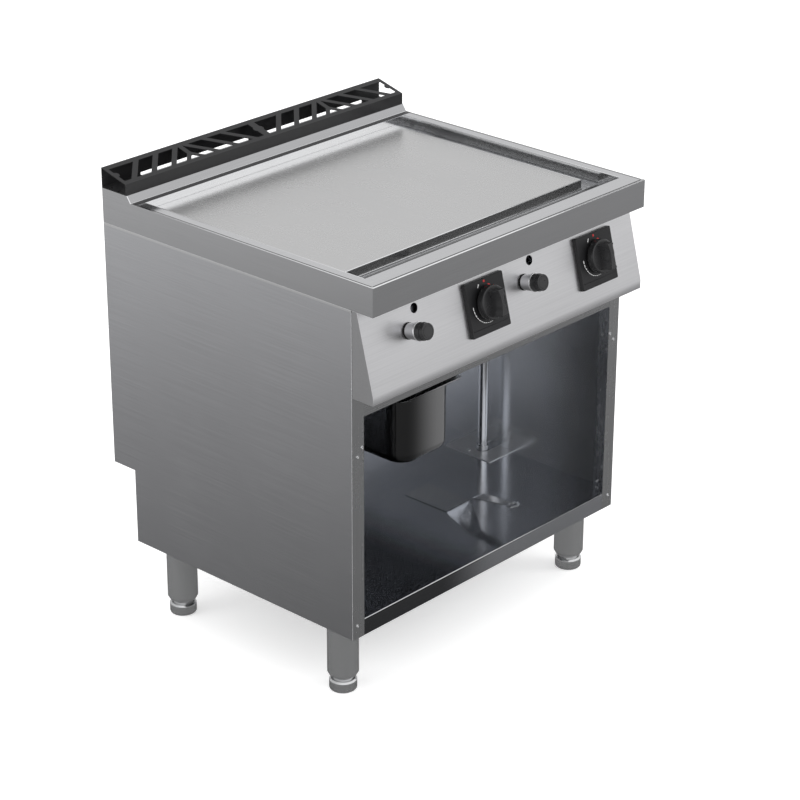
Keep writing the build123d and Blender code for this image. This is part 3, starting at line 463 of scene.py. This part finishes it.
def round_edges(piece, width, segments):
    edge = piece.modifiers.new("edge", "BEVEL")
    edge.width = width
    edge.segments = segments
    edge.limit_method = "ANGLE"
    edge.angle_limit = EDGE_ANGLE
    edge.use_clamp_overlap = True


def weigh_normals(piece):
    weighted = piece.modifiers.new("normals", "WEIGHTED_NORMAL")
    weighted.keep_sharp = True


def smooth_by_angle(piece):
    """Round faces shade smooth, and folded sheets keep the line of each fold."""
    mesh = piece.data
    mesh.polygons.foreach_set("use_smooth", [True] * len(mesh.polygons))
    if piece.name in FOLDED:
        mesh.set_sharp_from_angle(angle=FOLD_ANGLE)
    weigh_normals(piece)


CAD_FINISH = {
    "worktop": "worktop", "griddle_plate": "plate", "drain_chute": "inner", "flue_grille": "enamel",
    "flue_duct": "inner", "left_side_panel": "side", "right_side_panel": "flank", "rear_panel": "wall",
    "left_post": "post", "right_post": "post", "top_rail": "front", "cabinet_floor": "cabinet",
    "front_cross_member": "inner", "rear_cross_member": "inner", "heat_shield": "wall",
    "control_panel": "panel", "burner_chamber": "inner", "left_bin_runner": "inner",
    "right_bin_runner": "inner", "pipe_cover_plate": "inner", "pipe_collar": "pipe",
    "gas_inlet_pipe": "pipe", "manifold_elbow": "pipe", "gas_manifold": "pipe", "gas_injectors": "brass",
    "pilot_brackets": "inner", "pilot_burners": "brass", "thermocouples": "copper",
    "spark_electrodes": "ceramic", "scraper": "scraper", "post_rivets": "bright", "leg_bolts": "bright",
    "cover_screw": "bright", "grease_bin": "bin",
}
for side in SIDES:
    CAD_FINISH.update({
        side + "_bezel": "bezel", side + "_knob": "knob", side + "_valve_spindle": "brass",
        side + "_gas_valve": "brass", side + "_igniter_body": "chrome", side + "_igniter_button": "button",
        side + "_burner": "inner", side + "_feed_pipe": "copper",
    })
    for end in ENDS:
        CAD_FINISH[end + "_" + side + "_leg"] = "leg"
        CAD_FINISH[end + "_" + side + "_foot"] = "foot"


# ---------------------------------------------------------------- pieces built here
def on_panel(x, s, off):
    """World place of a point given in the panel frame, in millimetres."""
    c, t = math.cos(PANEL_TILT), math.sin(PANEL_TILT)
    return PANEL_FOOT + Vector((x, s * t - off * c, s * c + off * t)) * MM


def panel_matrix(x, s, off):
    """Axes of the panel frame at one place: X, up the face, out of it."""
    c, t = math.cos(PANEL_TILT), math.sin(PANEL_TILT)
    rows = Matrix((Vector((1, 0, 0)), Vector((0, t, c)), Vector((0, -c, t)))).transposed()
    return Matrix.Translation(on_panel(x, s, off)) @ rows.to_4x4()


def new_piece(name, bm, materials, body, matrix=None):
    """Finish a mesh made in millimetres as a piece that rides a body."""
    bmesh.ops.recalc_face_normals(bm, faces=bm.faces)
    mesh = bpy.data.meshes.new(name)
    bm.to_mesh(mesh)
    bm.free()
    mesh.transform((matrix or Matrix.Identity(4)) @ Matrix.Scale(MM, 4))
    for key in materials:
        mesh.materials.append(MATERIALS[key])
    piece = bpy.data.objects.new(name, mesh)
    bpy.context.scene.collection.objects.link(piece)
    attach(piece, body)
    return piece


def lathe(profile, steps=96):
    """Turn a profile of (radius, height, material) about the Z axis; each row names the band above it."""
    bm = bmesh.new()
    rings = []
    for radius, height, _ in profile:
        if radius < 1e-6:
            rings.append([bm.verts.new((0, 0, height))])
            continue
        ring = []
        for k in range(steps):
            a = 2 * math.pi * k / steps
            ring.append(bm.verts.new((radius * math.cos(a), radius * math.sin(a), height)))
        rings.append(ring)
    for (lower, upper), row in zip(zip(rings, rings[1:]), profile):
        for k in range(steps):
            n = (k + 1) % steps
            if len(lower) == 1:
                corners = (lower[0], upper[k], upper[n])
            elif len(upper) == 1:
                corners = (lower[k], lower[n], upper[0])
            else:
                corners = (lower[k], lower[n], upper[n], upper[k])
            face = bm.faces.new(corners)
            face.material_index = row[2]
            face.smooth = True
    return bm


def tube(points, radius, closed=False, steps=12):
    """Round bar along a line of points."""
    bm = bmesh.new()
    points = [Vector(p) for p in points]
    count = len(points)
    rings = []
    for k, point in enumerate(points):
        before = points[k - 1] if closed or k > 0 else point
        after = points[(k + 1) % count] if closed or k < count - 1 else point
        along = (after - before).normalized()
        side = along.cross(Vector((0, 0, 1)))
        if side.length < 0.01:
            side = along.cross(Vector((1, 0, 0)))
        side.normalize()
        up = side.cross(along)
        ring = []
        for j in range(steps):
            a = 2 * math.pi * j / steps
            ring.append(bm.verts.new(point + side * radius * math.cos(a) + up * radius * math.sin(a)))
        rings.append(ring)
    pairs = list(zip(rings, rings[1:]))
    if closed:
        pairs.append((rings[-1], rings[0]))
    for lower, upper in pairs:
        for j in range(steps):
            n = (j + 1) % steps
            bm.faces.new((lower[j], lower[n], upper[n], upper[j])).smooth = True
    if not closed:
        bm.faces.new(rings[0])
        bm.faces.new(rings[-1][::-1])
    return bm


def bead(name, points, radius, material="bright", body="body", closed=False):
    """Rounded edge along a line given in the layout frame: X, Y from the front of the worktop, Z."""
    return new_piece(name, tube(points, radius, closed), (material,), body, LAYOUT)


def make_edges():
    """Rolled edges of the sheet parts, as thin bars in the lighter copy of the steel that paints a highlight
    line along each; the black bar under the apron paints a shadow line.
    """
    bead("apron_front_edge", [(-398.2, 1.8, 899.2), (398.2, 1.8, 899.2)], 1.8)
    for side, sign in (("left", -1), ("right", 1)):
        bead(side + "_rim_edge", [(sign * 398.8, 1.8, 899.2), (sign * 398.8, 647, 899.2)], 1.0)
        bead(side + "_well_edge", [(sign * 375, 44.5, 899.4), (sign * 375, 632, 899.4)], 0.8)
    # painted shadow: a black bar under the front of the apron stands in for the shade beneath its lower edge
    bead("apron_foot_shadow_line", [(-398, 1.0, 842.5), (398, 1.0, 842.5)], 0.6, "rubber_and_shade")
    bead("plate_front_edge", [(-345.6, 121.2, 883.5), (345.6, 121.2, 883.5)], 1.3)
    bead("plate_right_edge", [(345.4, 121.2, 883.6), (345.4, 631, 883.6)], 1.0)
    bead("seat_front_edge", [(-347, 119.1, 865.9), (347, 119.1, 865.9)], 0.8)
    bead("floor_front_edge", [(-368, 53.5, 188.9), (368, 53.5, 188.9)], 1.1)


def rounded_outline(x0, x1, y0, y1, radius, z, steps=6):
    """Closed line round a rectangle with rounded corners."""
    points = []
    for cx, cy, start in ((x1 - radius, y1 - radius, 0), (x0 + radius, y1 - radius, 90),
                          (x0 + radius, y0 + radius, 180), (x1 - radius, y0 + radius, 270)):
        for k in range(steps + 1):
            a = math.radians(start + 90 * k / steps)
            points.append((cx + radius * math.cos(a), cy + radius * math.sin(a), z))
    return points


def make_bin_rim():
    """Rolled edge of the grease bin."""
    outline = rounded_outline(-253.4, -80.6, 59.1, 380.9, 12.4, 605.8)
    # the bar is in the lighter copy of the steel, which paints the highlight along the rim
    bead("bin_rim_edge", outline, 1.6, body="bin", closed=True)


SHELF_HOLES = ((91, 537), (79, 507), (92, 354), (84, 338), (78, 235), (91, 197))      # Y and Z
HOLE_RING_R = 2.9
HOLE_RING_STEPS = 24


def make_hole_rings():
    """Pressed collars around the shelf holes in the posts."""
    for side, sign in (("left", -1), ("right", 1)):
        for index, (y, z) in enumerate(SHELF_HOLES):
            turns = [2 * math.pi * k / HOLE_RING_STEPS for k in range(HOLE_RING_STEPS)]
            ring = [(sign * 397.5, y + HOLE_RING_R * math.cos(a), z + HOLE_RING_R * math.sin(a))
                    for a in turns]
            bead(side + "_hole_ring_" + str(index), ring, 0.45, closed=True)


COLLAR_ROUND = 0.0001


def make_igniter_bodies():
    """Black seal, flared chrome collar with a front ring in the lighter copy of the steel that paints its
    highlight, black guard sleeve.
    """
    seal, chrome, sleeve, ring = 0, 1, 2, 3
    profile = [(0, -37, sleeve), (9, -37, sleeve), (9, -24, sleeve), (15.6, -24, sleeve), (15.6, -5.9, seal),
               (22.6, -5.9, seal), (22.6, -1.5, seal), (15.6, -1.5, seal), (15.6, 0, seal), (16.2, 0.3, seal),
               (16.2, 3.6, seal), (15.7, 4, chrome), (15.6, 4.2, chrome), (16.6, 15, chrome),
               (17.8, 26.6, chrome), (18.1, 27, ring), (18.6, 27.3, ring), (18.6, 29.4, ring),
               (18.3, 29.9, ring), (17.6, 30, sleeve), (17.5, 30.4, sleeve), (17.5, 40.4, sleeve),
               (17.2, 40.9, sleeve), (16.7, 41, sleeve), (16.5, 40.6, sleeve), (16.5, 14, sleeve),
               (0, 14, sleeve)]
    finishes = ("rubber_and_shade", "chrome", "button", "bright")
    for side in SIDES:
        place = panel_matrix(IGNITER_X[side], IGNITER_S, 0)
        piece = new_piece(side + "_igniter_collar", lathe(profile), finishes, "body", place)
        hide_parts(side + "_igniter_body")
        round_edges(piece, COLLAR_ROUND, 1)
        weigh_normals(piece)


def flat_shape(points, height=0.12):
    """Thin raised print with a given outline."""
    bm = bmesh.new()
    low = [bm.verts.new((x, y, -0.3)) for x, y in points]
    high = [bm.verts.new((x, y, height)) for x, y in points]
    bm.faces.new(high)
    bm.faces.new(low)
    count = len(points)
    for k in range(count):
        n = (k + 1) % count
        bm.faces.new((low[k], low[n], high[n], high[k]))
    return bm


def arc_band(radius, width, start, end, steps=8):
    """Outline of a short curved dash, between two angles in degrees."""
    inner, outer = [], []
    for k in range(steps + 1):
        a = math.radians(start + (end - start) * k / steps)
        inner.append(((radius - width / 2) * math.cos(a), (radius - width / 2) * math.sin(a)))
        outer.append(((radius + width / 2) * math.cos(a), (radius + width / 2) * math.sin(a)))
    return outer + inner[::-1]


def stroke(x, y, length, width, angle):
    """Short mark with rounded ends."""
    a = math.radians(angle)
    points = []
    for end, start in ((1, -90), (-1, 90)):
        for k in range(7):
            b = math.radians(start + 30 * k)
            u = end * (length / 2 - width / 2) + width / 2 * math.cos(b)
            v = width / 2 * math.sin(b)
            points.append((x + u * math.cos(a) - v * math.sin(a), y + u * math.sin(a) + v * math.cos(a)))
    return points


def disc(x, y, radius, steps=32):
    return [(x + radius * math.cos(2 * math.pi * k / steps), y + radius * math.sin(2 * math.pi * k / steps))
            for k in range(steps)]


SCALE_START = 180.0            # degrees about the knob, from its right
SCALE_END = 280.0
SCALE_R = 39.5
SCALE_GAP = 2.6


def make_prints():
    """Marks on the knob plates: off, two burner settings and a scale of dashes that get smaller."""
    marks = [("off_dot", "red", disc(1.7, 47.6, 2.6)), ("off_tick", "white", stroke(-16, 42, 8, 2.2, 62)),
             ("high_tick", "red", stroke(14, 38.2, 7.5, 2.4, -25)),
             ("low_tick", "red", stroke(28, 31.4, 6.5, 2.4, -40))]
    for side in SIDES:
        below_knob = panel_matrix(KNOB_X[side], BEZEL_S, BEZEL_T)
        about_knob = panel_matrix(KNOB_X[side], KNOB_S, BEZEL_T)
        for name, color, points in marks:
            new_piece(side + "_" + name, flat_shape(points), (color,), "body", below_knob)
        start, index = SCALE_START, 0
        while start < SCALE_END:
            share = (start - SCALE_START) / (SCALE_END - SCALE_START)
            sweep, width = 9.0 - 4.5 * share, 1.9 - 1.2 * share
            dash = flat_shape(arc_band(SCALE_R, width, start, start + sweep))
            new_piece(side + "_scale_" + str(index), dash, ("white",), "body", about_knob)
            start += sweep + SCALE_GAP
            index += 1


for node, finish in CAD_FINISH.items():
    dress(node, finish)
make_igniter_bodies()
make_prints()
make_edges()
make_bin_rim()
make_hole_rings()
make_camera()
make_world()
make_lights()
make_floor()

bpy.context.scene.view_settings.view_transform = "Standard"
